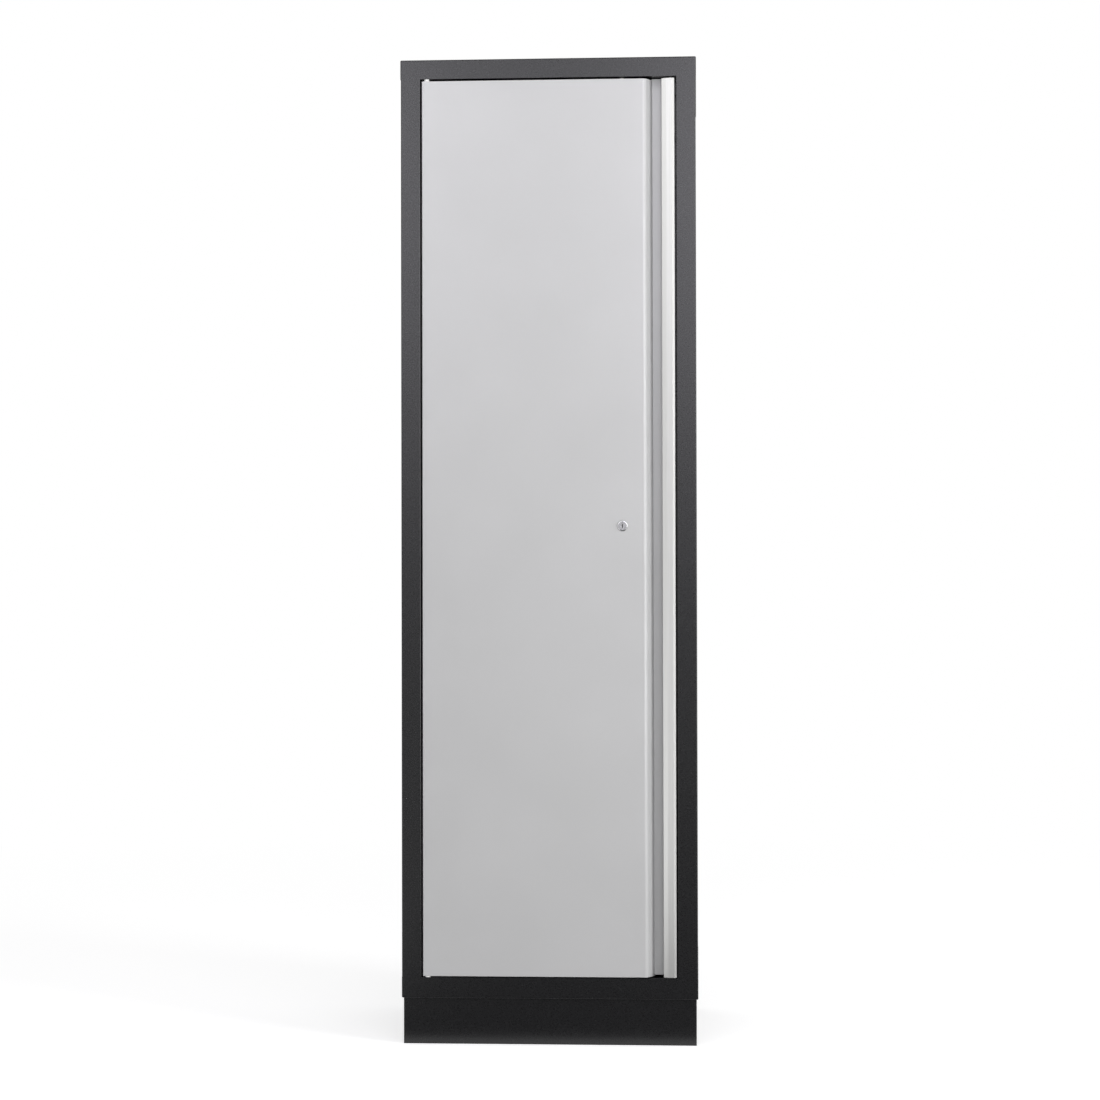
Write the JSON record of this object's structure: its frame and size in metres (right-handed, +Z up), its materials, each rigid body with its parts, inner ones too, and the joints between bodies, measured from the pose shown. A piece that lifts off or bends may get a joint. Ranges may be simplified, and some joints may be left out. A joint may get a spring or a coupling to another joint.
{
  "type": "tall cabinet",
  "caption": "Tall single-door steel workshop cabinet on a plinth, with shelves inside, a full-height recessed grip and a key lock that drives rods up and down.",
  "frame": {"origin": "on the floor, under the middle of the box that holds the whole cabinet", "axes": "+Z up, +X to the right seen from the front, the front faces -Y"},
  "size_m": [0.602, 0.457, 2],
  "materials": {
    "anthracite_paint": "fine-textured powder coat",
    "light_grey_paint": "smooth semi-gloss powder coat",
    "aluminium": "satin anodised",
    "zinc_plated_steel": "bright zinc",
    "chrome": "polished",
    "white_nylon": "moulded",
    "black_rubber": "matte"
  },
  "bodies": {
    "carcass": {"plinth_front": "anthracite_paint", "plinth_rear": "anthracite_paint", "plinth_left": "anthracite_paint", "plinth_right": "anthracite_paint", "bottom_tray": "anthracite_paint", "tray_screws": "zinc_plated_steel", "tray_nuts": "zinc_plated_steel", "side_panel_left": "anthracite_paint", "side_panel_right": "anthracite_paint", "top_cap": "anthracite_paint", "rear_panel": "anthracite_paint", "rear_rivets": "zinc_plated_steel", "shelf_rail_front_left": "zinc_plated_steel", "shelf_rail_front_right": "zinc_plated_steel", "shelf_rail_rear_left": "zinc_plated_steel", "shelf_rail_rear_right": "zinc_plated_steel", "shelf_1": "zinc_plated_steel", "shelf_2": "zinc_plated_steel", "shelf_3": "zinc_plated_steel", "shelf_4": "zinc_plated_steel", "shelf_clips_1": "zinc_plated_steel", "shelf_clips_2": "zinc_plated_steel", "shelf_clips_3": "zinc_plated_steel", "shelf_clips_4": "zinc_plated_steel", "hinge_bush_top": "white_nylon", "hinge_bush_bottom": "white_nylon", "door_buffers": "black_rubber"},
    "door": {"door_skin": "light_grey_paint", "door_channel": "light_grey_paint", "door_rail_top": "light_grey_paint", "door_rail_bottom": "light_grey_paint", "door_stiffener": "light_grey_paint", "door_grip": "aluminium", "grip_rivets": "zinc_plated_steel", "pivot_block_top": "zinc_plated_steel", "pivot_block_bottom": "zinc_plated_steel", "pivot_pin_top": "zinc_plated_steel", "pivot_pin_bottom": "zinc_plated_steel", "lock_body": "chrome", "lock_nut": "zinc_plated_steel", "rod_guides": "white_nylon"},
    "lock_cylinder": {"lock_plug": "chrome", "lock_cam": "zinc_plated_steel", "lock_cam_screw": "zinc_plated_steel"},
    "upper_rod": {"lock_rod_upper": "zinc_plated_steel", "rod_tip_upper": "white_nylon"},
    "lower_rod": {"lock_rod_lower": "zinc_plated_steel", "rod_tip_lower": "white_nylon"}
  },
  "joints": [
    {"name": "door_swing", "type": "hinge", "parent": "carcass", "child": "door", "pos_m": [-0.2475, -0.2155, 1.0475], "axis": [0, 0, -1], "range_deg": [0, 110]},
    {"name": "lock_turn", "type": "hinge", "parent": "door", "child": "lock_cylinder", "pos_m": [0.15, -0.2215, 1.049], "axis": [0, -1, 0], "range_deg": [0, 90]},
    {"name": "upper_rod_slide", "type": "slide", "parent": "door", "child": "upper_rod", "axis": [0, 0, 1], "range_m": [0, 0.0198]},
    {"name": "lower_rod_slide", "type": "slide", "parent": "door", "child": "lower_rod", "axis": [0, 0, -1], "range_m": [0, 0.0198]}
  ],
  "couplings": [
    {"joint": "lock_turn", "follows": "upper_rod_slide", "rad_per_m": 79.337},
    {"joint": "lower_rod_slide", "follows": "upper_rod_slide", "ratio": 1}
  ]
}
